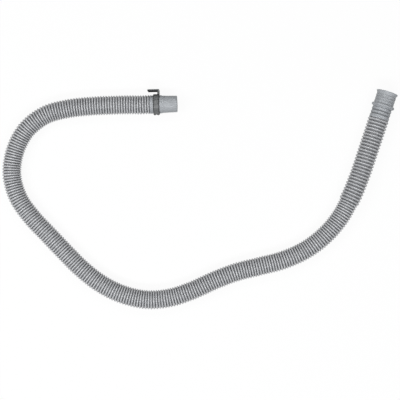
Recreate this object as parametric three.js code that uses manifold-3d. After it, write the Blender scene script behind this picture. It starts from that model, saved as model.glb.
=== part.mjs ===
// Corrugated drain hose of a washing machine, lying loose in an open S.
// Millimetres, +Z up. The origin is at the middle of the footprint, on the floor.
//
// One blow-moulded hose carries ring-shaped corrugations in two sizes: a slim run from the
// machine end and a wider run before the outlet. Each end is a plain spigot that sits in a
// moulded cuff. A clamp ring with an L-shaped arm rides on the machine cuff.

import * as THREE from 'three';
import Module from 'manifold-3d';

// Slim run of the hose, from the machine cuff
const slimCrestDiameter = 33.6;
const slimGrooveDiameter = 28;
const slimPitch = 4.61;
const slimBoreDiameter = 24;

// Wide run of the hose, before the outlet cuff
const wideCrestDiameter = 36.8;
const wideGrooveDiameter = 31;
const widePitch = 5.66;
const wideBoreDiameter = 27.2;
const wideRunLength = 154;

// Plain spigots that the cuffs hold
const spigotWall = 1.1;
const machineSpigotLength = 15;
const outletSpigotLength = 17;

// Lie of the hose: the length and width of floor that its centreline spans
const lieLength = 641.3;
const lieWidth = 341.1;

// Clearances
const seatClearance = 0.3;
const spigotClearance = 0.35;

// Machine cuff, measured from its hose end to its mouth
const machineCuffLength = 47.2;
const machineCollarDiameter = 31.3;
const machineCollarLength = 20.6;
const machineCollarLipDiameter = 32;
const machineCollarLipWidth = 1.8;
const machineSpoutRootDiameter = 30;
const machineSpoutMouthDiameter = 28.4;
const machineSpoutWall = 2.1;
const cuffShoulderLength = 1.1;
const cuffEdgeRadius = 0.8;

// Outlet cuff, measured from its hose end to its mouth
const outletCuffLength = 48.8;
const outletLeadIn = 1.3;
const outletRibCount = 3;
const outletRibPitch = 6;
const outletRibCrestShare = 0.4;
const outletRibDiameter = 34.4;
const outletRibGrooveDiameter = 31.8;
const outletNeckDiameter = 32.7;
const outletFlangeDiameter = 40;
const outletFlangeFromMouth = 25;
const outletFlangeWidth = 6.4;
const outletFlangeCrestWidth = 2.6;
const outletBodyRootDiameter = 33.9;
const outletBodyMouthDiameter = 34.2;
const outletGripRingCount = 3;
const outletGripRingPitch = 5.3;
const outletGripRingWidth = 2.6;
const outletGripRingHeight = 0.45;
const outletGripRingFromFlare = 3.4;
const outletFlareDiameter = 38.2;
const outletFlareLength = 5.2;
const outletCuffWall = 2.7;

// Ledge inside each cuff, where the spigot stops
const ledgeThickness = 2.2;

// Clamp on the machine cuff's collar
const clampFromCuffEnd = 6;
const clampWidth = 10.6;
const clampThickness = 1.95;
const clampEdgeChamfer = 0.9;
const clampKnuckleHeight = 0.8;
const clampKnuckleWidth = 3.4;
const clampKnuckleSpacing = 5.8;
const clampKnuckleFromEdge = 0.1;
const clampKnuckleLength = 9;
const armThickness = 2.6;
const armHeight = 20;
const armReach = 20.3;
const armStandOff = 5.3;
const armCornerRadius = 1.1;

// Facets
const hoseSides = 10;
const cuffSegments = 28;
const knuckleSegments = 16;
const ribsPerBoreStep = 5;
const edgeSteps = 3;
const flareSteps = 3;

// Route of the hose's centreline as it lies in a loose S, from the machine cuff to the outlet
// cuff. The last value of each point is the height over the floor.
const looseLie = [
  [-87.5, 164.9, 17.75],
  [-106.3, 164.5, 17.25],
  [-125.8, 164.6, 16.95],
  [-146.8, 164.1, 16.82],
  [-188.8, 162.3, 16.8],
  [-230.8, 157.8, 16.8],
  [-270.8, 146.6, 16.8],
  [-304.0, 121.0, 16.8],
  [-323.8, 84.0, 16.8],
  [-329.5, 42.6, 16.8],
  [-318.5, 2.3, 16.8],
  [-294.6, -32.2, 16.8],
  [-265.8, -62.7, 16.8],
  [-236.8, -93.2, 16.8],
  [-207.0, -122.8, 16.8],
  [-173.8, -148.4, 16.8],
  [-136.2, -167.0, 16.8],
  [-95.3, -176.2, 16.8],
  [-53.5, -173.1, 16.8],
  [-13.6, -160.1, 16.8],
  [24.7, -142.8, 16.8],
  [64.0, -128.0, 16.8],
  [104.8, -117.8, 16.8],
  [145.4, -107.0, 16.8],
  [183.6, -89.8, 16.95],
  [217.1, -64.6, 17.8],
  [244.4, -32.6, 18.4],
  [264.2, 4.3, 18.4],
  [279.9, 43.2, 18.5],
  [292.9, 82.1, 19.0],
  [303.1, 112.8, 19.4],
  [311.8, 139.4, 19.8],
];

const material = (color, roughness, metalness = 0) =>
  new THREE.MeshStandardMaterial({ color, roughness, metalness });
const hoseMaterial = material(0xa9adb2, 0.45);
const cuffMaterial = material(0xa6abae, 0.55);
const clampMaterial = material(0x6a6d6f, 0.4, 0.3);

// The lie stretched to its length and width
const liePoints = looseLie.map((point) => new THREE.Vector3(...point));
const lieSpan = new THREE.Box3().setFromPoints(liePoints).getSize(new THREE.Vector3());
const lieScale = new THREE.Vector3(lieLength / lieSpan.x, lieWidth / lieSpan.y, 1);

// The route as a curve with an even arc length
const route = new THREE.CatmullRomCurve3(
  liePoints.map((point) => point.multiply(lieScale)),
  false,
  'centripetal',
);
route.arcLengthDivisions = 4000;
const routeLength = route.getLength();

// Centre, sideways and upward directions of the route at a distance from its start.
// Beyond either end the route runs on straight.
function routeFrame(distance) {
  const inside = THREE.MathUtils.clamp(distance, 0, routeLength);
  const forward = route.getTangentAt(inside / routeLength);
  const centre = route.getPointAt(inside / routeLength).addScaledVector(forward, distance - inside);
  const side = new THREE.Vector3(0, 0, 1).cross(forward).normalize();
  const up = forward.clone().cross(side);
  return { centre, forward, side, up };
}

// A closed tube wall: rings of points along the outside, then back along the bore.
// Each ring has a distance along the route, a radius and a height scale.
function tubeWall(outerRings, boreRings) {
  const rings = [...outerRings, ...boreRings.toReversed()];
  const positions = [];
  for (const ring of rings) {
    const { centre, side, up } = routeFrame(ring.distance);
    for (let corner = 0; corner < hoseSides; corner++) {
      const angle = (2 * Math.PI * corner) / hoseSides;
      const point = centre
        .clone()
        .addScaledVector(side, ring.radius * Math.cos(angle))
        .addScaledVector(up, ring.radius * ring.heightScale * Math.sin(angle));
      positions.push(point.x, point.y, point.z);
    }
  }
  const indices = [];
  for (let ring = 0; ring < rings.length; ring++) {
    const here = ring * hoseSides;
    const there = ((ring + 1) % rings.length) * hoseSides;
    for (let corner = 0; corner < hoseSides; corner++) {
      const next = (corner + 1) % hoseSides;
      indices.push(here + corner, there + next, there + corner);
      indices.push(here + corner, here + next, there + next);
    }
  }
  const geometry = new THREE.BufferGeometry();
  geometry.setAttribute('position', new THREE.Float32BufferAttribute(positions, 3));
  geometry.setIndex(indices);
  geometry.computeVertexNormals();
  return geometry;
}

// Outside rings of one corrugated run: a groove, then a crest and a groove for each rib
function corrugatedRun(start, end, pitch, crestDiameter, grooveDiameter) {
  const ribCount = Math.round((end - start) / pitch);
  const step = (end - start) / ribCount;
  // The flats of the section touch the top and bottom of the round hose
  const heightScale = 1 / Math.cos(Math.PI / hoseSides);
  const rings = [{ distance: start, radius: grooveDiameter / 2, heightScale }];
  for (let rib = 0; rib < ribCount; rib++) {
    rings.push({ distance: start + (rib + 0.5) * step, radius: crestDiameter / 2, heightScale });
    rings.push({ distance: start + (rib + 1) * step, radius: grooveDiameter / 2, heightScale });
  }
  return rings;
}

// Bore rings at an even spacing between two distances
function boreRun(start, end, pitch, diameter) {
  const steps = Math.ceil((end - start) / (ribsPerBoreStep * pitch));
  return Array.from({ length: steps + 1 }, (_, step) => ({
    distance: start + ((end - start) * step) / steps,
    radius: diameter / 2,
    heightScale: 1,
  }));
}

const runStart = seatClearance;
const runEnd = routeLength - seatClearance;
const changeOver = routeLength - wideRunLength;
const machineSpigotRadius = slimBoreDiameter / 2 + spigotWall;
const outletSpigotRadius = wideBoreDiameter / 2 + spigotWall;

function corrugatedHose() {
  const slimRun = corrugatedRun(
    runStart, changeOver, slimPitch, slimCrestDiameter, slimGrooveDiameter);
  // The last slim groove is also the first wide one
  const wideRun = corrugatedRun(
    changeOver, runEnd, widePitch, wideCrestDiameter, wideGrooveDiameter).slice(1);
  const outside = [
    { distance: -machineSpigotLength, radius: machineSpigotRadius, heightScale: 1 },
    { distance: runStart, radius: machineSpigotRadius, heightScale: 1 },
    ...slimRun,
    ...wideRun,
    { distance: runEnd, radius: outletSpigotRadius, heightScale: 1 },
    { distance: routeLength + outletSpigotLength, radius: outletSpigotRadius, heightScale: 1 },
  ];
  const bore = [
    ...boreRun(-machineSpigotLength, changeOver - widePitch, slimPitch, slimBoreDiameter),
    ...boreRun(changeOver, routeLength + outletSpigotLength, widePitch, wideBoreDiameter),
  ];
  const hose = new THREE.Mesh(tubeWall(outside, bore), hoseMaterial);
  hose.name = 'corrugated_hose';
  return hose;
}

// Quarter-round edge of a profile, from one radius and height to another
function roundedEdge(centreRadius, centreHeight, radius, fromAngle, toAngle) {
  return Array.from({ length: edgeSteps + 1 }, (_, step) => {
    const angle = THREE.MathUtils.lerp(fromAngle, toAngle, step / edgeSteps);
    return [centreRadius + radius * Math.cos(angle), centreHeight + radius * Math.sin(angle)];
  });
}

// Body of revolution about +Y from a closed profile of [radius, height] points
function revolve(profile) {
  const points = [...profile, profile[0]].map(([radius, height]) => new THREE.Vector2(radius, height));
  return new THREE.LatheGeometry(points, cuffSegments);
}

function machineCuff() {
  const socket = machineSpigotRadius + spigotClearance;
  const bore = machineSpoutMouthDiameter / 2 - machineSpoutWall;
  const ledge = slimBoreDiameter / 2 - spigotWall;
  const socketDepth = machineSpigotLength + seatClearance;
  const collar = machineCollarDiameter / 2;
  const lip = machineCollarLipDiameter / 2;
  const mouth = machineSpoutMouthDiameter / 2;
  const profile = [
    [socket, 0],
    [lip - cuffEdgeRadius, 0],
    [lip, cuffEdgeRadius],
    [lip, machineCollarLipWidth - cuffEdgeRadius / 2],
    [collar, machineCollarLipWidth],
    [collar, machineCollarLength],
    [machineSpoutRootDiameter / 2, machineCollarLength + cuffShoulderLength],
    ...roundedEdge(
      mouth - cuffEdgeRadius, machineCuffLength - cuffEdgeRadius, cuffEdgeRadius, 0, Math.PI / 2),
    [bore, machineCuffLength],
    [bore, socketDepth + ledgeThickness + bore - ledge],
    [ledge, socketDepth + ledgeThickness],
    [ledge, socketDepth],
    [socket, socketDepth],
  ];
  const cuff = new THREE.Mesh(revolve(profile), cuffMaterial);
  cuff.name = 'machine_cuff';
  return cuff;
}

function outletCuff() {
  const socket = outletSpigotRadius + spigotClearance;
  const bore = outletBodyRootDiameter / 2 - outletCuffWall;
  const ledge = wideBoreDiameter / 2 - spigotWall;
  const socketDepth = outletSpigotLength + seatClearance;
  const neck = outletNeckDiameter / 2;
  const flange = outletFlangeDiameter / 2;
  const flangeCentre = outletCuffLength - outletFlangeFromMouth;
  const bodyStart = flangeCentre + outletFlangeWidth / 2;
  const bodyEnd = outletCuffLength - outletFlareLength;
  const flareEnd = outletCuffLength - cuffEdgeRadius / 2;
  const bodyRadius = (height) =>
    THREE.MathUtils.mapLinear(
      height, bodyStart, bodyEnd, outletBodyRootDiameter / 2, outletBodyMouthDiameter / 2);

  // The first rib is broad: it starts at the cuff's end
  const ribs = [[outletRibDiameter / 2, 0]];
  for (let rib = 0; rib < outletRibCount; rib++) {
    const middle = outletLeadIn + (rib + 0.5) * outletRibPitch;
    const halfCrest = (outletRibCrestShare * outletRibPitch) / 2;
    if (rib > 0) {
      ribs.push([outletRibGrooveDiameter / 2, middle - outletRibPitch / 2]);
      ribs.push([outletRibDiameter / 2, middle - halfCrest]);
    }
    ribs.push([outletRibDiameter / 2, middle + halfCrest]);
  }

  const gripRings = [];
  for (let ring = 0; ring < outletGripRingCount; ring++) {
    const middle = bodyEnd - outletGripRingFromFlare - ring * outletGripRingPitch;
    const halfWidth = outletGripRingWidth / 2;
    gripRings.unshift(
      [bodyRadius(middle - halfWidth), middle - halfWidth],
      [bodyRadius(middle) + outletGripRingHeight, middle - halfWidth / 2],
      [bodyRadius(middle) + outletGripRingHeight, middle + halfWidth / 2],
      [bodyRadius(middle + halfWidth), middle + halfWidth],
    );
  }

  // The flare opens more and more steeply towards the mouth
  const flare = Array.from({ length: flareSteps + 1 }, (_, step) => {
    const share = step / flareSteps;
    return [
      THREE.MathUtils.lerp(outletBodyMouthDiameter, outletFlareDiameter, share ** 2) / 2,
      THREE.MathUtils.lerp(bodyEnd, flareEnd, share),
    ];
  });

  const profile = [
    [socket, 0],
    ...ribs,
    [neck, outletLeadIn + outletRibCount * outletRibPitch],
    [neck, flangeCentre - outletFlangeWidth / 2],
    [flange, flangeCentre - outletFlangeCrestWidth / 2],
    [flange, flangeCentre + outletFlangeCrestWidth / 2],
    [outletBodyRootDiameter / 2, bodyStart],
    ...gripRings,
    ...flare,
    [outletFlareDiameter / 2 - cuffEdgeRadius / 2, outletCuffLength],
    [bore, outletCuffLength],
    [bore, socketDepth + ledgeThickness + bore - ledge],
    [ledge, socketDepth + ledgeThickness],
    [ledge, socketDepth],
    [socket, socketDepth],
  ];
  const cuff = new THREE.Mesh(revolve(profile), cuffMaterial);
  cuff.name = 'outlet_cuff';
  return cuff;
}

// Joins closed geometries into one closed body
const manifold = await Module();
manifold.setup();

function toSolid(geometry) {
  const source = geometry.index ? geometry.toNonIndexed() : geometry;
  const mesh = new manifold.Mesh({
    numProp: 3,
    vertProperties: new Float32Array(source.attributes.position.array),
    triVerts: Uint32Array.from({ length: source.attributes.position.count }, (_, index) => index),
  });
  mesh.merge();
  return new manifold.Manifold(mesh);
}

function joined(geometries) {
  const mesh = manifold.Manifold.union(geometries.map(toSolid)).getMesh();
  const geometry = new THREE.BufferGeometry();
  geometry.setAttribute('position', new THREE.Float32BufferAttribute(mesh.vertProperties, 3));
  geometry.setIndex(new THREE.Uint32BufferAttribute(mesh.triVerts, 1));
  geometry.computeVertexNormals();
  return geometry;
}

// Clamp about +Y, with its arm on the +X side and its knuckles on the -X side
function hoseClamp() {
  const inner = machineCollarDiameter / 2 + seatClearance;
  const outer = inner + clampThickness;
  const ring = revolve([
    [inner, 0],
    [outer - clampEdgeChamfer / 2, 0],
    [outer, clampEdgeChamfer],
    [outer, clampWidth - clampEdgeChamfer],
    [outer - clampEdgeChamfer / 2, clampWidth],
    [inner, clampWidth],
  ]);

  // Each knuckle is a rounded bar, sunk to the middle of the ring's wall
  const knuckleDepth = clampThickness / 2 + clampKnuckleHeight;
  const firstKnuckle = clampKnuckleFromEdge + clampKnuckleWidth / 2;
  const knuckles = [0, 1].map((place) => {
    const knuckle = new THREE.CylinderGeometry(0.5, 0.5, clampKnuckleLength, knuckleSegments);
    knuckle.rotateX(Math.PI / 2);
    knuckle.scale(knuckleDepth, clampKnuckleWidth, 1);
    knuckle.translate(
      knuckleDepth / 2 - outer - clampKnuckleHeight,
      firstKnuckle + place * clampKnuckleSpacing,
      0,
    );
    return knuckle;
  });

  const armRoot = outer - clampThickness / 2;
  const armInside = outer + armStandOff;
  const armOutside = armInside + armThickness;
  const armOutline = new THREE.Shape();
  armOutline.moveTo(armRoot, clampWidth);
  armOutline.lineTo(armRoot, clampWidth - armThickness);
  armOutline.lineTo(armInside, clampWidth - armThickness);
  armOutline.lineTo(armInside, clampWidth - armReach);
  armOutline.lineTo(armOutside - armCornerRadius, clampWidth - armReach);
  armOutline.quadraticCurveTo(
    armOutside, clampWidth - armReach, armOutside, clampWidth - armReach + armCornerRadius);
  armOutline.lineTo(armOutside, clampWidth - armCornerRadius);
  armOutline.quadraticCurveTo(
    armOutside, clampWidth, armOutside - armCornerRadius, clampWidth);
  const arm = new THREE.ExtrudeGeometry(armOutline, {
    depth: armHeight,
    bevelEnabled: false,
    curveSegments: edgeSteps,
  });
  arm.translate(0, 0, -armHeight / 2);

  const clamp = new THREE.Mesh(joined([ring, ...knuckles, arm]), clampMaterial);
  clamp.name = 'hose_clamp';
  clamp.position.y = clampFromCuffEnd;
  // The arm lies on the far side of the cuff, beside the hose
  clamp.rotation.y = Math.PI;
  return clamp;
}

// A group whose +Y points out of the hose's end and whose +Z points upwards
function endGroup(distance, outward, ...meshes) {
  const { centre, forward, up } = routeFrame(distance);
  const axis = forward.clone().multiplyScalar(outward);
  const group = new THREE.Group();
  group.position.copy(centre);
  group.quaternion.setFromRotationMatrix(
    new THREE.Matrix4().makeBasis(axis.clone().cross(up), axis, up));
  group.add(...meshes);
  return group;
}

const drainHose = new THREE.Group();
drainHose.add(
  corrugatedHose(),
  endGroup(0, -1, machineCuff(), hoseClamp()),
  endGroup(routeLength, 1, outletCuff()),
);

// Stands the middle of the footprint on the origin
const extent = new THREE.Box3().setFromObject(drainHose, true);
const middle = extent.getCenter(new THREE.Vector3());
drainHose.position.set(-middle.x, -middle.y, -extent.min.z);

export default drainHose;
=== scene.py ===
"""Corrugated drain hose of a washing machine, lying loose on a pale floor.

Metres, +Z up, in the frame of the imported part. The hose follows the same route as the part's
source. Its cuffs and clamp are modelled in their own frames and seated on the route's two ends.
"""

import math

import bmesh
import bpy
from mathutils import Matrix, Vector


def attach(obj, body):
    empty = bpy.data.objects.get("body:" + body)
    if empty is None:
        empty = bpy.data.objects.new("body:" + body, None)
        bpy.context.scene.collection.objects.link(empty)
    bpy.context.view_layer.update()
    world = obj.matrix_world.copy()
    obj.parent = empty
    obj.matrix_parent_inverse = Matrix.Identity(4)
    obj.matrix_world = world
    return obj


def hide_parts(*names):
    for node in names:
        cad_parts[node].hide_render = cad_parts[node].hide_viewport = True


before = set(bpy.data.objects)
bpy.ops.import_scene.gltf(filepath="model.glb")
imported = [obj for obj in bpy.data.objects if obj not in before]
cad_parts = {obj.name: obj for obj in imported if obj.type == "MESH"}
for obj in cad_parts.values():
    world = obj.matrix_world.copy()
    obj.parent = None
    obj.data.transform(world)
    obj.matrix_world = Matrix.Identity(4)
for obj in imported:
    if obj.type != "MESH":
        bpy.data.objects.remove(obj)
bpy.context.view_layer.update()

MM = 0.001

# Slim run of the hose, from the machine cuff
SLIM_CREST = 33.6 * MM
SLIM_GROOVE = 28 * MM
SLIM_PITCH = 4.61 * MM
SLIM_BORE = 24 * MM

# Wide run of the hose, before the outlet cuff
WIDE_CREST = 36.8 * MM
WIDE_GROOVE = 31 * MM
WIDE_PITCH = 5.66 * MM
WIDE_BORE = 27.2 * MM
WIDE_RUN = 154 * MM

# How full the ribs' crests are, and how the last groove before the outlet cuff closes up
CREST_FULLNESS = 0.6
CLOSING_HEIGHT = 0.6
CLOSING_SLOPE = 1.2

# How much lighter the shade painted into the wide run's grooves is, and how much duller its plastic
# is
WIDE_GROOVE_SHADE_LIFT = 0.36
WIDE_WEAR = 0.18

# How finely the hose's wall is cut up
RINGS_PER_RIB = 8
WALL_SIDES = 40
BORE_RING_SPACING = 10 * MM

# Spigots inside the cuffs
SPIGOT_WALL = 1.1 * MM
MACHINE_SPIGOT = 15 * MM
OUTLET_SPIGOT = 17 * MM

# Room around a spigot, at the ends of the ribbed run and under the clamp
CLEARANCE = 0.3 * MM

# How far the hose's last groove reaches into the outlet cuff
HIDDEN_EDGE = 0.2 * MM

# Machine cuff, from its hose end to its mouth
MACHINE_CUFF = 47.2 * MM
COLLAR = 31.3 * MM
COLLAR_LENGTH = 20.6 * MM
COLLAR_LIP = 32 * MM
COLLAR_LIP_WIDTH = 1.8 * MM
SPOUT_ROOT = 30 * MM
SPOUT_MOUTH = 28.4 * MM
SPOUT_WALL = 2.1 * MM
SHOULDER = 1.1 * MM

# Slope behind the machine cuff's lip, and the roundings of its edges
COLLAR_LIP_SLOPE = 0.4 * MM
COLLAR_LIP_EDGE = 0.7 * MM
COLLAR_LIP_BACK_EDGE = 0.5 * MM
COLLAR_LIP_FOOT = 0.3 * MM
COLLAR_EDGE = 0.5 * MM
SHOULDER_EDGE = 0.8 * MM
SPOUT_EDGE = 0.6 * MM

# Outlet cuff, from its hose end to its mouth
OUTLET_CUFF = 48.8 * MM
LEAD_IN = 1.3 * MM
SOFT_RIBS = 3
SOFT_RIB_PITCH = 6 * MM
SOFT_RIB_CREST_SHARE = 0.4
SOFT_RIB = 34.4 * MM
SOFT_RIB_GROOVE = 31.8 * MM
NECK = 32.7 * MM
FLANGE = 40 * MM
FLANGE_FROM_MOUTH = 25 * MM
FLANGE_WIDTH = 6.4 * MM
FLANGE_CREST = 2.6 * MM
BODY_ROOT = 33.9 * MM
BODY_MOUTH = 34.2 * MM
GRIP_RINGS = 3
GRIP_RING_PITCH = 5.3 * MM
GRIP_RING_WIDTH = 2.6 * MM
GRIP_RING_HEIGHT = 0.45 * MM
GRIP_RING_FROM_FLARE = 3.4 * MM
FLARE = 38.2 * MM
FLARE_LENGTH = 5.2 * MM
OUTLET_WALL = 2.7 * MM
FLARE_STEPS = 6

# Roundings of the outlet cuff's edges
HOSE_END_EDGE = 0.4 * MM
SOFT_RIB_EDGE = 0.9 * MM
SOFT_RIB_FOOT = 1.2 * MM
NECK_EDGE = 0.9 * MM
FLANGE_EDGE = 1.3 * MM
FLANGE_FOOT = 2.2 * MM
GRIP_RING_EDGE = 0.4 * MM
FLARE_EDGE = 0.3 * MM
FLARE_BEVEL = 0.4 * MM
OUTLET_BORE_EDGE = 0.7 * MM

# Ledge inside each cuff that the hose's spigot stops at
LEDGE = 2.2 * MM
LEDGE_EDGE = 0.5 * MM

# Clamp on the collar of the machine cuff
CLAMP_FROM_CUFF_END = 6 * MM
CLAMP_WIDTH = 10.6 * MM
CLAMP_THICKNESS = 1.95 * MM
KNUCKLE_HEIGHT = 0.8 * MM
KNUCKLE_WIDTH = 3.4 * MM
KNUCKLE_SPACING = 5.8 * MM
KNUCKLE_FROM_EDGE = 0.1 * MM
KNUCKLE_LENGTH = 9 * MM
ARM_THICKNESS = 3.1 * MM
ARM_HEIGHT = 20 * MM
ARM_REACH = 20.3 * MM
ARM_STAND_OFF = 4.8 * MM

# Roundings of the clamp's edges, and how wide the shade painted along its edges is
CLAMP_EDGE = 0.9 * MM
CLAMP_BORE_EDGE = 0.3 * MM
CLAMP_SHADED_EDGE = 1.7 * MM
ARM_BEND_INSIDE = 0.6 * MM
ARM_BEND_OUTSIDE = 0.8 * MM
ARM_TIP_INSIDE = 0.9 * MM
ARM_TIP_OUTSIDE = 1.3 * MM

# Middle of the photograph on the floor, and the camera's height over the hose's axis
PHOTO_MIDDLE = (0.0004, -0.0011)
CAMERA_HEIGHT = 1.8
PHOTO_WIDTH = 0.700
AXIS_HEIGHT = 0.0168

# The hose's route, as the part's source has it, and how far the source moves it onto the origin
ROUTE_SHIFT = Vector((0.00074, 0.00087, 0.00001))
ROUTE = [
    Vector(point) + ROUTE_SHIFT
    for point in (
        (-0.0875, 0.1649, 0.01775),
        (-0.1063, 0.1645, 0.01725),
        (-0.1258, 0.1646, 0.01695),
        (-0.1468, 0.1641, 0.01682),
        (-0.1888, 0.1623, 0.0168),
        (-0.2308, 0.1578, 0.0168),
        (-0.2708, 0.1466, 0.0168),
        (-0.3040, 0.1210, 0.0168),
        (-0.3238, 0.0840, 0.0168),
        (-0.3295, 0.0426, 0.0168),
        (-0.3185, 0.0023, 0.0168),
        (-0.2946, -0.0322, 0.0168),
        (-0.2658, -0.0627, 0.0168),
        (-0.2368, -0.0932, 0.0168),
        (-0.2070, -0.1228, 0.0168),
        (-0.1738, -0.1484, 0.0168),
        (-0.1362, -0.1670, 0.0168),
        (-0.0953, -0.1762, 0.0168),
        (-0.0535, -0.1731, 0.0168),
        (-0.0136, -0.1601, 0.0168),
        (0.0247, -0.1428, 0.0168),
        (0.0640, -0.1280, 0.0168),
        (0.1048, -0.1178, 0.0168),
        (0.1454, -0.1070, 0.0168),
        (0.1836, -0.0898, 0.01695),
        (0.2171, -0.0646, 0.0178),
        (0.2444, -0.0326, 0.0184),
        (0.2642, 0.0043, 0.0184),
        (0.2799, 0.0432, 0.0185),
        (0.2929, 0.0821, 0.0190),
        (0.3031, 0.1128, 0.0194),
        (0.3118, 0.1394, 0.0198),
    )
]


def smooth_route(points, steps=40):
    """Points along a centripetal curve through the given ones."""
    ends = [2 * points[0] - points[1], *points, 2 * points[-1] - points[-2]]
    path = [points[0]]
    for before, here, there, after in zip(ends, ends[1:], ends[2:], ends[3:]):
        lead = math.sqrt((here - before).length)
        span = math.sqrt((there - here).length)
        trail = math.sqrt((after - there).length)
        leave = (here - before) / lead - (there - before) / (lead + span) + (there - here) / span
        arrive = (there - here) / span - (after - here) / (span + trail) + (after - there) / trail
        leave *= span
        arrive *= span
        for step in range(1, steps + 1):
            t = step / steps
            path.append(
                here
                + leave * t
                + (3 * (there - here) - 2 * leave - arrive) * t**2
                + (2 * (here - there) + leave + arrive) * t**3
            )
    return path


def path_length(path):
    return sum((b - a).length for a, b in zip(path, path[1:]))


def end_frame(origin, axis):
    """A frame at a hose end: X across, Y out of the mouth, Z upwards."""
    across = axis.cross(Vector((0, 0, 1))).normalized()
    up = across.cross(axis)
    turn = Matrix((across, axis, up)).transposed().to_4x4()
    return Matrix.Translation(origin) @ turn


route = smooth_route(ROUTE)
machine_axis = (ROUTE[0] - ROUTE[1]).normalized()
outlet_axis = (ROUTE[-1] - ROUTE[-2]).normalized()
machine_frame = end_frame(ROUTE[0], machine_axis)
outlet_frame = end_frame(ROUTE[-1], outlet_axis)
hose_path = [
    route[0] + machine_axis * MACHINE_SPIGOT,
    *route,
    route[-1] + outlet_axis * OUTLET_SPIGOT,
]


# Camera


def top_camera():
    camera = bpy.data.objects.new("camera", bpy.data.cameras.new("camera"))
    bpy.context.collection.objects.link(camera)
    camera.location = (*PHOTO_MIDDLE, AXIS_HEIGHT + CAMERA_HEIGHT)
    camera.data.sensor_fit = "HORIZONTAL"
    camera.data.angle = 2 * math.atan(PHOTO_WIDTH / 2 / CAMERA_HEIGHT)
    bpy.context.scene.camera = camera


# Materials

CREST_GREYS = ((0.565, 0.574, 0.591), (0.605, 0.614, 0.631))
# Near-black shade painted into the hose's grooves
HOSE_GROOVE_SHADE = (0.065, 0.068, 0.072)
CUFF_GREYS = ((0.40, 0.42, 0.44), (0.435, 0.455, 0.475))
# Darker shade painted into the cuffs' grooves
CUFF_GROOVE_SHADE = (0.19, 0.20, 0.21)
CLAMP_GREYS = ((0.150, 0.156, 0.158), (0.180, 0.187, 0.190))
# Near-black shade painted on the clamp's edges and the inner face of its arm; the knuckles go half
# way to it
CLAMP_PAINTED_SHADE = (0.022, 0.023, 0.024)


def new_material(name):
    material = bpy.data.materials.new(name)
    material.use_nodes = True
    nodes = material.node_tree.nodes
    return material, nodes, material.node_tree.links, nodes["Principled BSDF"]


def add_noise(nodes, links, scale, detail=4.0, roughness=0.55):
    coordinates = nodes.new("ShaderNodeTexCoord")
    noise = nodes.new("ShaderNodeTexNoise")
    noise.inputs["Scale"].default_value = scale
    noise.inputs["Detail"].default_value = detail
    noise.inputs["Roughness"].default_value = roughness
    links.new(coordinates.outputs["Object"], noise.inputs["Vector"])
    return noise.outputs["Fac"]


def add_range(nodes, links, value, low, high, to_low, to_high):
    mapped = nodes.new("ShaderNodeMapRange")
    links.new(value, mapped.inputs["Value"])
    for name, number in (
        ("From Min", low),
        ("From Max", high),
        ("To Min", to_low),
        ("To Max", to_high),
    ):
        mapped.inputs[name].default_value = number
    return mapped.outputs["Result"]


def add_tint(nodes, links, factor, first, second):
    mix = nodes.new("ShaderNodeMix")
    mix.data_type = "RGBA"
    links.new(factor, mix.inputs["Factor"])
    for socket, colour in (("A", first), ("B", second)):
        target = next(s for s in mix.inputs if s.name == socket and s.type == "RGBA")
        if isinstance(colour, tuple):
            target.default_value = (*colour, 1)
        else:
            links.new(colour, target)
    return next(s for s in mix.outputs if s.type == "RGBA")


def add_bump(nodes, links, height, distance, strength=1.0):
    bump = nodes.new("ShaderNodeBump")
    bump.inputs["Distance"].default_value = distance
    bump.inputs["Strength"].default_value = strength
    links.new(height, bump.inputs["Height"])
    return bump.outputs["Normal"]


def hose_plastic():
    """Light grey polypropylene, with shade painted near-black down in its grooves."""
    material, nodes, links, shader = new_material("hose_plastic")
    rib = nodes.new("ShaderNodeAttribute")
    rib.attribute_name = "rib_painted_shade"
    mottle = add_noise(nodes, links, 38)
    crest = add_tint(
        nodes, links, add_range(nodes, links, mottle, 0.35, 0.65, 0, 1),
        *CREST_GREYS)
    colour = add_tint(
        nodes, links, add_range(nodes, links, rib.outputs["Fac"], 0.15, 0.84, 0, 1),
        HOSE_GROOVE_SHADE, crest)
    links.new(colour, shader.inputs["Base Color"])
    grain = add_noise(nodes, links, 900, 2)
    links.new(
        add_range(nodes, links, grain, 0.3, 0.7, 0.32, 0.40), shader.inputs["Roughness"])
    links.new(add_bump(nodes, links, grain, 0.00002), shader.inputs["Normal"])
    shader.inputs["Specular IOR Level"].default_value = 1.0
    return material


def cuff_plastic():
    """Soft grey moulding with a fine, dull grain, and shade painted darker into its grooves."""
    material, nodes, links, shader = new_material("cuff_plastic")
    mottle = add_noise(nodes, links, 60)
    plain = add_tint(
        nodes, links, add_range(nodes, links, mottle, 0.35, 0.65, 0, 1),
        *CUFF_GREYS)
    groove = nodes.new("ShaderNodeAttribute")
    groove.attribute_name = "painted_shade"
    colour = add_tint(nodes, links, groove.outputs["Fac"], plain, CUFF_GROOVE_SHADE)
    links.new(colour, shader.inputs["Base Color"])
    grain = add_noise(nodes, links, 1400, 3)
    links.new(
        add_range(nodes, links, grain, 0.3, 0.7, 0.46, 0.60), shader.inputs["Roughness"])
    links.new(add_bump(nodes, links, grain, 0.000025), shader.inputs["Normal"])
    return material


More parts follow.
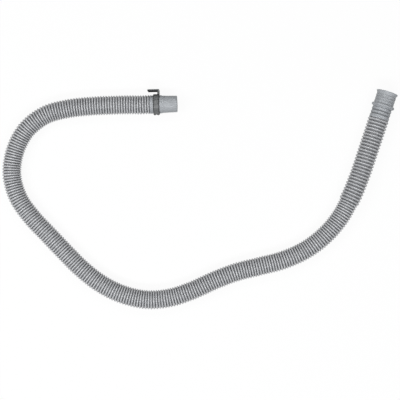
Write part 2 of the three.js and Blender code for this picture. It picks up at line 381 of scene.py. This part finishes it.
def clamp_plastic():
    """Dark grey, half gloss, with faint scuffs; painted shade turns it near-black and takes its
    gloss away.
    """
    material, nodes, links, shader = new_material("clamp_plastic")
    scuffs = add_noise(nodes, links, 240, 6, 0.7)
    plain = add_tint(
        nodes, links, add_range(nodes, links, scuffs, 0.45, 0.75, 0, 1),
        *CLAMP_GREYS)
    groove = nodes.new("ShaderNodeAttribute")
    groove.attribute_name = "painted_shade"
    colour = add_tint(nodes, links, groove.outputs["Fac"], plain, CLAMP_PAINTED_SHADE)
    links.new(colour, shader.inputs["Base Color"])
    links.new(
        add_range(nodes, links, groove.outputs["Fac"], 0, 1, 0.5, 0),
        shader.inputs["Specular IOR Level"])
    links.new(
        add_range(nodes, links, scuffs, 0.3, 0.7, 0.36, 0.46), shader.inputs["Roughness"])
    grain = add_noise(nodes, links, 1500, 2)
    links.new(add_bump(nodes, links, grain, 0.00003), shader.inputs["Normal"])
    return material


# The hose, by Geometry Nodes


class NodeTree:
    """A Geometry Nodes tree with named inputs and short calls for its sums."""

    def __init__(self, name):
        self.group = bpy.data.node_groups.new(name, "GeometryNodeTree")
        self.interface = self.group.interface
        self.nodes = self.group.nodes
        self.links = self.group.links
        self.interface.new_socket("Geometry", in_out="INPUT", socket_type="NodeSocketGeometry")
        self.interface.new_socket("Geometry", in_out="OUTPUT", socket_type="NodeSocketGeometry")
        self.inputs = self.nodes.new("NodeGroupInput")
        self.identifiers = {}

    def add_input(self, name, kind="NodeSocketFloat"):
        socket = self.interface.new_socket(name, in_out="INPUT", socket_type=kind)
        self.identifiers[name] = socket.identifier
        return self.inputs.outputs[name]

    def add(self, kind, settings=(), **sockets):
        node = self.nodes.new(kind)
        for key, value in dict(settings).items():
            setattr(node, key, value)
        for key, value in sockets.items():
            self.feed(node.inputs[key.replace("_", " ")], value)
        return node

    def feed(self, socket, value):
        if isinstance(value, bpy.types.NodeSocket):
            self.links.new(value, socket)
        else:
            socket.default_value = value

    def math(self, operation, *values):
        node = self.nodes.new("ShaderNodeMath")
        node.operation = operation
        for socket, value in zip(node.inputs, values):
            self.feed(socket, value)
        return node.outputs["Value"]

    def blend(self, factor, low, high):
        """low where factor is 0, high where it is 1."""
        return self.math("MULTIPLY_ADD", self.math("SUBTRACT", high, low), factor, low)

    def finish(self, geometry, material):
        realized = self.add("GeometryNodeRealizeInstances", Geometry=geometry)
        finished = self.add(
            "GeometryNodeSetMaterial", Geometry=realized.outputs["Geometry"], Material=material)
        output = self.nodes.new("NodeGroupOutput")
        self.links.new(finished.outputs["Geometry"], output.inputs["Geometry"])


def corrugated_wall_tree(material):
    """Turns the hose's path into a closed wall: ribs outside, a smooth bore inside."""
    tree = NodeTree("corrugated_wall")
    start = tree.add_input("Run Start")
    change = tree.add_input("Change Over")
    end = tree.add_input("Run End")
    pitch = [tree.add_input(f"{run} Pitch") for run in ("Slim", "Wide")]
    crest = [tree.add_input(f"{run} Crest Radius") for run in ("Slim", "Wide")]
    groove = [tree.add_input(f"{run} Groove Radius") for run in ("Slim", "Wide")]
    bore = [tree.add_input(f"{run} Bore Radius") for run in ("Slim", "Wide")]
    spigot_wall = tree.add_input("Spigot Wall")
    crest_fullness = tree.add_input("Crest Fullness")
    ring_spacing = tree.add_input("Ring Spacing")
    bore_spacing = tree.add_input("Bore Spacing")
    sides = tree.add_input("Sides", "NodeSocketInt")
    path = tree.inputs.outputs["Geometry"]

    along = tree.add("GeometryNodeSplineParameter")
    distance = along.outputs["Length"]
    wide = tree.math("GREATER_THAN", distance, change)

    # Distance into the run, counted in ribs
    slim_turns = tree.math("DIVIDE", tree.math("SUBTRACT", distance, start), pitch[0])
    wide_turns = tree.math("DIVIDE", tree.math("SUBTRACT", distance, change), pitch[1])
    turns = tree.blend(wide, slim_turns, wide_turns)
    cosine = tree.math("COSINE", tree.math("MULTIPLY", turns, 2 * math.pi))
    wave = tree.math("MULTIPLY_ADD", cosine, -0.5, 0.5)
    full = tree.math("POWER", tree.math("MAXIMUM", wave, 0.0), crest_fullness)

    # The groove next to the outlet cuff is shallow
    to_end = tree.math("DIVIDE", tree.math("SUBTRACT", end, distance), pitch[1])
    closing = tree.math("MULTIPLY_ADD", to_end, -CLOSING_SLOPE, CLOSING_HEIGHT)
    rib = tree.math("MAXIMUM", full, closing)

    # Radius outside: ribs on the run, plain on the spigots, closed onto the bore at both ends
    ribbed = tree.blend(rib, tree.blend(wide, *groove), tree.blend(wide, *crest))
    bore_radius = tree.blend(wide, *bore)
    plain = tree.math("ADD", bore_radius, spigot_wall)
    on_run = tree.math(
        "MULTIPLY",
        tree.math("GREATER_THAN", distance, start),
        tree.math("LESS_THAN", distance, end),
    )
    factor = along.outputs["Factor"]
    inside = tree.math(
        "MULTIPLY",
        tree.math("GREATER_THAN", factor, 0.00001),
        tree.math("LESS_THAN", factor, 0.99999),
    )
    outside = tree.blend(inside, bore_radius, tree.blend(on_run, plain, ribbed))

    circle = tree.add(
        "GeometryNodeCurvePrimitiveCircle", {"mode": "RADIUS"}, Resolution=sides, Radius=1.0)

    # How light the plastic is: shade painted dark into the grooves, less so on the wide run and at
    # the outlet cuff
    lift = tree.math("MAXIMUM", tree.math("MULTIPLY", wide, WIDE_GROOVE_SHADE_LIFT), closing)
    worn = tree.math("MULTIPLY_ADD", wide, -WIDE_WEAR, 1.0)
    lightness = tree.math(
        "MULTIPLY", tree.math("MULTIPLY", tree.math("MAXIMUM", rib, lift), worn), on_run)

    def skin(spacing, radius, keep_rib):
        rings = tree.add("GeometryNodeResampleCurve", {"mode": "LENGTH"}, Curve=path, Length=spacing)
        upright = tree.add(
            "GeometryNodeSetCurveNormal", {"mode": "Z_UP"}, Curve=rings.outputs["Curve"])
        curve = upright.outputs["Curve"]
        # Carries the painted groove shade onto the hose's wall
        if keep_rib:
            marked = tree.add(
                "GeometryNodeStoreNamedAttribute",
                {"data_type": "FLOAT", "domain": "POINT"},
                Geometry=curve, Name="rib_painted_shade", Value=lightness)
            curve = marked.outputs["Geometry"]
        swept = tree.add(
            "GeometryNodeCurveToMesh", Curve=curve,
            Profile_Curve=circle.outputs["Curve"], Scale=radius)
        return swept.outputs["Mesh"]

    turned = tree.add("GeometryNodeFlipFaces", Mesh=skin(bore_spacing, bore_radius, False))
    both = tree.nodes.new("GeometryNodeJoinGeometry")
    tree.links.new(skin(ring_spacing, outside, True), both.inputs["Geometry"])
    tree.links.new(turned.outputs["Mesh"], both.inputs["Geometry"])
    closed = tree.add(
        "GeometryNodeMergeByDistance", Geometry=both.outputs["Geometry"], Distance=0.00001)
    smooth = tree.add(
        "GeometryNodeSetShadeSmooth", {"domain": "FACE"}, Geometry=closed.outputs["Geometry"])
    tree.finish(smooth.outputs["Geometry"], material)
    return tree


def corrugated_hose(material):
    curve = bpy.data.curves.new("hose_path", "CURVE")
    curve.dimensions = "3D"
    spline = curve.splines.new("POLY")
    spline.points.add(len(hose_path) - 1)
    for point, place in zip(spline.points, hose_path):
        point.co = (*place, 1)
    guide = bpy.data.objects.new("hose_path", curve)
    bpy.context.collection.objects.link(guide)

    run = path_length(route)
    change = run - WIDE_RUN
    # Each run holds a whole number of ribs
    slim_ribs = round((change - CLEARANCE) / SLIM_PITCH)
    wide_ribs = round((WIDE_RUN - CLEARANCE) / WIDE_PITCH)
    tree = corrugated_wall_tree(material)
    sizes = {
        "Run Start": MACHINE_SPIGOT + CLEARANCE,
        "Change Over": MACHINE_SPIGOT + change,
        "Run End": MACHINE_SPIGOT + run + HIDDEN_EDGE,
        "Slim Pitch": (change - CLEARANCE) / slim_ribs,
        "Wide Pitch": (WIDE_RUN - CLEARANCE) / wide_ribs,
        "Slim Crest Radius": SLIM_CREST / 2,
        "Wide Crest Radius": WIDE_CREST / 2,
        "Slim Groove Radius": SLIM_GROOVE / 2,
        "Wide Groove Radius": WIDE_GROOVE / 2,
        "Slim Bore Radius": SLIM_BORE / 2,
        "Wide Bore Radius": WIDE_BORE / 2,
        "Spigot Wall": SPIGOT_WALL,
        "Crest Fullness": CREST_FULLNESS,
        "Ring Spacing": SLIM_PITCH / RINGS_PER_RIB,
        "Bore Spacing": BORE_RING_SPACING,
        "Sides": WALL_SIDES,
    }
    modifier = guide.modifiers.new("corrugated_wall", "NODES")
    modifier.node_group = tree.group
    for name, value in sizes.items():
        modifier[tree.identifiers[name]] = value
    hose = plain_mesh(guide, "corrugated_hose")
    bpy.data.objects.remove(guide)
    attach(hose, "root")
    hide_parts("corrugated_hose")
    return hose


def plain_mesh(source, name):
    """The evaluated shape of an object as a mesh object of its own."""
    graph = bpy.context.evaluated_depsgraph_get()
    graph.update()
    mesh = bpy.data.meshes.new_from_object(source.evaluated_get(graph), depsgraph=graph)
    mesh.name = name
    piece = bpy.data.objects.new(name, mesh)
    bpy.context.collection.objects.link(piece)
    return piece


# Cuffs and clamp


def rounded(corners):
    """Points of a closed outline of (radius, height, rounding, painted shade) corners.

    Each point is a radius, a height and how dark a shade is painted on it, from 0 to 1.
    """
    points = []
    count = len(corners)
    for index, (radius, height, rounding, *depth) in enumerate(corners):
        here = Vector((radius, height, *(depth or [0])))
        before = Vector((*corners[index - 1][:2], here.z)) - here
        after = Vector((*corners[(index + 1) % count][:2], here.z)) - here
        if rounding <= 0:
            points.append(here)
            continue
        half = before.angle(after) / 2
        reach = rounding / math.tan(half)
        reach = min(reach, 0.49 * before.length, 0.49 * after.length)
        first = here + before.normalized() * reach
        last = here + after.normalized() * reach
        for step in range(5):
            t = step / 4
            points.append(first * (1 - t) ** 2 + here * 2 * t * (1 - t) + last * t**2)
    return points


def revolve(profile, place, segments=112):
    """A closed body of revolution about +Y, set in its place."""
    mesh = bmesh.new()
    # Each vertex keeps how dark a shade is painted on it
    groove = mesh.verts.layers.float.new("painted_shade")
    rings = []
    for segment in range(segments):
        turn = 2 * math.pi * segment / segments
        ring = []
        for p in profile:
            vert = mesh.verts.new(
                place @ Vector((p.x * math.cos(turn), p.y, p.x * math.sin(turn))))
            vert[groove] = p.z
            ring.append(vert)
        rings.append(ring)
    for ring, following in zip(rings, rings[1:] + rings[:1]):
        for index in range(len(profile)):
            ahead = (index + 1) % len(profile)
            mesh.faces.new((ring[index], following[index], following[ahead], ring[ahead]))
    return mesh


def piece_from(mesh, name, material, smooth_angle=math.radians(35)):
    """A finished piece from a bmesh, with its faces pointing outwards."""
    bmesh.ops.remove_doubles(mesh, verts=mesh.verts, dist=0.000001)
    bmesh.ops.recalc_face_normals(mesh, faces=mesh.faces)
    data = bpy.data.meshes.new(name)
    mesh.to_mesh(data)
    mesh.free()
    data.materials.append(material)
    data.shade_smooth()
    data.set_sharp_from_angle(angle=smooth_angle)
    piece = bpy.data.objects.new(name, data)
    bpy.context.collection.objects.link(piece)
    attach(piece, "root")
    return piece


def machine_cuff(material):
    socket = SLIM_BORE / 2 + SPIGOT_WALL + CLEARANCE
    bore = SPOUT_MOUTH / 2 - SPOUT_WALL
    ledge = SLIM_BORE / 2 - SPIGOT_WALL
    depth = MACHINE_SPIGOT + CLEARANCE
    profile = rounded(
        [
            (socket, 0, 0),
            (COLLAR_LIP / 2, 0, COLLAR_LIP_EDGE),
            (COLLAR_LIP / 2, COLLAR_LIP_WIDTH, COLLAR_LIP_BACK_EDGE),
            (COLLAR / 2, COLLAR_LIP_WIDTH + COLLAR_LIP_SLOPE, COLLAR_LIP_FOOT),
            (COLLAR / 2, COLLAR_LENGTH, COLLAR_EDGE),
            (SPOUT_ROOT / 2, COLLAR_LENGTH + SHOULDER, SHOULDER_EDGE),
            (SPOUT_MOUTH / 2, MACHINE_CUFF, SPOUT_EDGE),
            (bore, MACHINE_CUFF, SPOUT_EDGE),
            (bore, depth + LEDGE + bore - ledge, LEDGE_EDGE),
            (ledge, depth + LEDGE, LEDGE_EDGE),
            (ledge, depth, 0),
            (socket, depth, 0),
        ]
    )
    piece = piece_from(revolve(profile, machine_frame), "machine_cuff_moulding", material)
    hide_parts("machine_cuff")
    return piece


def outlet_cuff(material):
    socket = WIDE_BORE / 2 + SPIGOT_WALL + CLEARANCE
    bore = BODY_ROOT / 2 - OUTLET_WALL
    ledge = WIDE_BORE / 2 - SPIGOT_WALL
    depth = OUTLET_SPIGOT + CLEARANCE
    flange_at = OUTLET_CUFF - FLANGE_FROM_MOUTH
    body_start = flange_at + FLANGE_WIDTH / 2
    body_end = OUTLET_CUFF - FLARE_LENGTH
    flare_end = OUTLET_CUFF - FLARE_BEVEL

    def body(height):
        share = (height - body_start) / (body_end - body_start)
        return (BODY_ROOT + (BODY_MOUTH - BODY_ROOT) * share) / 2

    # The first rib is broad: it starts at the cuff's end
    corners = [(socket, 0, 0), (SOFT_RIB / 2, 0, HOSE_END_EDGE)]
    for rib in range(SOFT_RIBS):
        middle = LEAD_IN + (rib + 0.5) * SOFT_RIB_PITCH
        half = SOFT_RIB_CREST_SHARE * SOFT_RIB_PITCH / 2
        if rib:
            # Shade painted at the foot between two soft ribs
            corners += [
                (SOFT_RIB_GROOVE / 2, middle - SOFT_RIB_PITCH / 2, SOFT_RIB_FOOT, 1.0),
                (SOFT_RIB / 2, middle - half, SOFT_RIB_EDGE),
            ]
        corners.append((SOFT_RIB / 2, middle + half, SOFT_RIB_EDGE))
    # Shade painted in the groove after the last soft rib, faint at the flange's foot
    corners += [
        (NECK / 2, LEAD_IN + SOFT_RIBS * SOFT_RIB_PITCH, NECK_EDGE, 0.7),
        (NECK / 2, flange_at - FLANGE_WIDTH / 2, NECK_EDGE, 0.1),
        (FLANGE / 2, flange_at - FLANGE_CREST / 2, FLANGE_EDGE),
        (FLANGE / 2, flange_at + FLANGE_CREST / 2, FLANGE_EDGE),
        (BODY_ROOT / 2, body_start, FLANGE_FOOT),
    ]
    for ring in reversed(range(GRIP_RINGS)):
        middle = body_end - GRIP_RING_FROM_FLARE - ring * GRIP_RING_PITCH
        half = GRIP_RING_WIDTH / 2
        proud = body(middle) + GRIP_RING_HEIGHT
        # Shade painted faintly at the feet of each grip ring
        corners += [
            (body(middle - half), middle - half, GRIP_RING_EDGE, 0.3),
            (proud, middle - half / 2, GRIP_RING_EDGE),
            (proud, middle + half / 2, GRIP_RING_EDGE),
            (body(middle + half), middle + half, GRIP_RING_EDGE, 0.3),
        ]
    # The flare opens more and more steeply towards the mouth
    for step in range(FLARE_STEPS + 1):
        share = step / FLARE_STEPS
        corners.append(
            (
                (BODY_MOUTH + (FLARE - BODY_MOUTH) * share**2) / 2,
                body_end + (flare_end - body_end) * share,
                FLARE_EDGE,
            )
        )
    corners += [
        (FLARE / 2 - FLARE_BEVEL, OUTLET_CUFF, FLARE_EDGE),
        (bore, OUTLET_CUFF, OUTLET_BORE_EDGE),
        (bore, depth + LEDGE + bore - ledge, LEDGE_EDGE),
        (ledge, depth + LEDGE, LEDGE_EDGE),
        (ledge, depth, 0),
        (socket, depth, 0),
    ]
    piece = piece_from(
        revolve(rounded(corners), outlet_frame), "outlet_cuff_moulding", material)
    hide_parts("outlet_cuff")
    return piece


def bar(outline, height, place):
    """A closed bar: an outline of (x, y, painted shade) points raised both ways along Z."""
    mesh = bmesh.new()
    # Each vertex keeps how dark a shade is painted on it
    groove = mesh.verts.layers.float.new("painted_shade")
    low, high = [], []
    for row, level in ((low, -height / 2), (high, height / 2)):
        for x, y, depth in outline:
            vert = mesh.verts.new(place @ Vector((x, y, level)))
            vert[groove] = depth
            row.append(vert)
    mesh.faces.new(low)
    mesh.faces.new(list(reversed(high)))
    for index in range(len(outline)):
        ahead = (index + 1) % len(outline)
        mesh.faces.new((low[index], high[index], high[ahead], low[ahead]))
    return mesh


def hose_clamp(material):
    """Clamp ring with its arm on the far side of the cuff and its knuckles on the near side."""
    place = machine_frame @ Matrix.Translation((0, CLAMP_FROM_CUFF_END, 0))
    inner = COLLAR / 2 + CLEARANCE
    outer = inner + CLAMP_THICKNESS
    # Shade painted near-black along the ring's edges, fading out across the band
    ring = revolve(
        rounded(
            [
                (inner, 0, CLAMP_BORE_EDGE, 0.8),
                (outer, 0, CLAMP_EDGE, 0.8),
                (outer, CLAMP_SHADED_EDGE, 0),
                (outer, CLAMP_WIDTH - CLAMP_SHADED_EDGE, 0),
                (outer, CLAMP_WIDTH, CLAMP_EDGE, 0.8),
                (inner, CLAMP_WIDTH, CLAMP_BORE_EDGE, 0.8),
            ]
        ),
        place,
    )

    arm_root = outer - CLAMP_THICKNESS / 2
    arm_inside = outer + ARM_STAND_OFF
    arm_outside = arm_inside + ARM_THICKNESS
    # The arm's inner face is painted near-black, as shade, and its root partly so
    outline = rounded(
        [
            (arm_root, CLAMP_WIDTH, 0),
            (arm_root, CLAMP_WIDTH - ARM_THICKNESS, 0, 0.6),
            (arm_inside, CLAMP_WIDTH - ARM_THICKNESS, ARM_BEND_INSIDE, 1.0),
            (arm_inside, CLAMP_WIDTH - ARM_REACH, ARM_TIP_INSIDE, 1.0),
            (arm_outside, CLAMP_WIDTH - ARM_REACH, ARM_TIP_OUTSIDE),
            (arm_outside, CLAMP_WIDTH, ARM_BEND_OUTSIDE),
        ]
    )
    arm = bar([(-p.x, p.y, p.z) for p in outline], ARM_HEIGHT, place)

    knuckles = []
    depth = CLAMP_THICKNESS / 2 + KNUCKLE_HEIGHT
    # The knuckles are painted half way to the near-black shade
    for number in (0, 1):
        middle = KNUCKLE_FROM_EDGE + KNUCKLE_WIDTH / 2 + number * KNUCKLE_SPACING
        turns = [2 * math.pi * step / 32 for step in range(32)]
        outline = [
            (
                outer + KNUCKLE_HEIGHT - depth / 2 + depth / 2 * math.cos(turn),
                middle + KNUCKLE_WIDTH / 2 * math.sin(turn),
                0.5,
            )
            for turn in turns
        ]
        knuckles.append(bar(outline, KNUCKLE_LENGTH, place))

    whole = bmesh.new()
    for mesh in (ring, arm, *knuckles):
        bmesh.ops.recalc_face_normals(mesh, faces=mesh.faces)
        data = bpy.data.meshes.new("clamp_piece")
        mesh.to_mesh(data)
        mesh.free()
        whole.from_mesh(data)
        bpy.data.meshes.remove(data)
    piece = piece_from(whole, "hose_clamp_moulding", material)
    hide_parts("hose_clamp")
    return piece


# Floor and light

FLOOR_GREY = 0.35
FLOOR_WHITE = 1.16
FLOOR_WHITE_SHARE = 0.8
FLOOR_REACH = 6
WORLD_LIGHT = 0.08


def pale_floor():
    """White under the camera, and still dark where the hose shades it."""
    material, nodes, links, shader = new_material("pale_floor")
    shader.inputs["Base Color"].default_value = (FLOOR_GREY, FLOOR_GREY, FLOOR_GREY, 1)
    shader.inputs["Roughness"].default_value = 0.9
    shader.inputs["Specular IOR Level"].default_value = 0.1
    rays = nodes.new("ShaderNodeLightPath")
    seen = rays.outputs["Is Camera Ray"]
    for kind in ("Is Glossy Ray", "Is Transmission Ray"):
        either = nodes.new("ShaderNodeMath")
        either.operation = "MAXIMUM"
        links.new(seen, either.inputs[0])
        links.new(rays.outputs[kind], either.inputs[1])
        seen = either.outputs["Value"]
    share = nodes.new("ShaderNodeMath")
    share.operation = "MULTIPLY"
    share.inputs[1].default_value = FLOOR_WHITE_SHARE
    links.new(seen, share.inputs[0])
    white = nodes.new("ShaderNodeEmission")
    white.inputs["Strength"].default_value = FLOOR_WHITE
    both = nodes.new("ShaderNodeMixShader")
    links.new(share.outputs["Value"], both.inputs["Fac"])
    links.new(shader.outputs["BSDF"], both.inputs[1])
    links.new(white.outputs["Emission"], both.inputs[2])
    links.new(both.outputs["Shader"], nodes["Material Output"].inputs["Surface"])
    mesh = bmesh.new()
    bmesh.ops.create_grid(mesh, x_segments=1, y_segments=1, size=FLOOR_REACH)
    data = bpy.data.meshes.new("floor")
    mesh.to_mesh(data)
    mesh.free()
    data.materials.append(material)
    floor = bpy.data.objects.new("floor", data)
    bpy.context.collection.objects.link(floor)


def soft_lamp(name, place, size, power, colour=(1, 1, 1)):
    """A lamp that points at the middle of the floor."""
    lamp = bpy.data.lights.new(name, "AREA")
    lamp.color = colour
    lamp.shape = "RECTANGLE"
    lamp.size, lamp.size_y = size
    lamp.energy = power
    holder = bpy.data.objects.new(name, lamp)
    holder.location = place
    holder.rotation_euler = (-Vector(place)).to_track_quat("-Z", "Y").to_euler()
    bpy.context.collection.objects.link(holder)


def studio_light():
    world = bpy.data.worlds.new("studio")
    world.use_nodes = True
    background = world.node_tree.nodes["Background"]
    background.inputs["Color"].default_value = (1, 1, 1, 1)
    background.inputs["Strength"].default_value = WORLD_LIGHT
    bpy.context.scene.world = world
    soft_lamp("front", (-0.1, -1.3, 2.2), (2.2, 0.3), 33, (0.97, 0.98, 1))
    soft_lamp("left", (-1.4, -0.1, 1.8), (0.8, 1.0), 16)
    soft_lamp("right", (1.3, -0.1, 1.8), (0.8, 1.0), 7)
    soft_lamp("back", (-0.2, 1.2, 1.9), (2.0, 0.5), 12)


top_camera()
hose = corrugated_hose(hose_plastic())
cuff_finish = cuff_plastic()
outlet = outlet_cuff(cuff_finish)
machine_cuff(cuff_finish)
hose_clamp(clamp_plastic())
pale_floor()
studio_light()
bpy.context.scene.view_settings.view_transform = "Standard"
